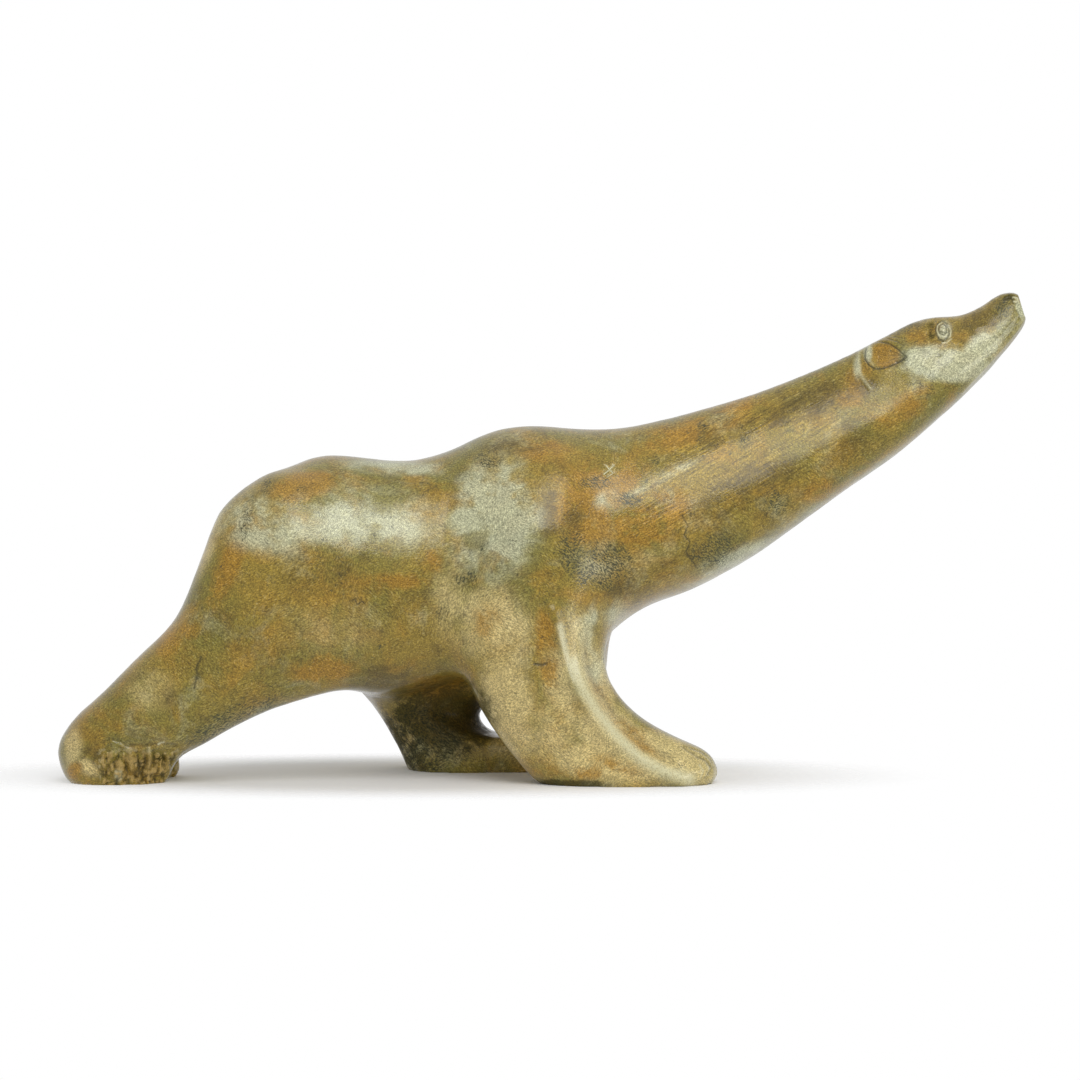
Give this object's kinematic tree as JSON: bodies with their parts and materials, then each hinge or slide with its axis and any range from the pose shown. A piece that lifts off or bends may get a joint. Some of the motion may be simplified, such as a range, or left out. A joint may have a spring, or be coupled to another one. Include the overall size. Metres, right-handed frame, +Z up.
{
  "type": "polar bear sculpture",
  "caption": "Walking polar bear sculpture in patinated bronze, standing on its own feet with the long neck and small head stretched forward and upward.",
  "frame": {"origin": "centre of the bounding box in x and y, on the ground under the soles", "axes": "+X towards the muzzle, +Y towards the bear's left side, +Z up"},
  "size_m": [0.4, 0.1038, 0.2016],
  "materials": {
    "bronze": null
  },
  "bodies": {
    "root": {"bear": "bronze"}
  },
  "joints": []
}
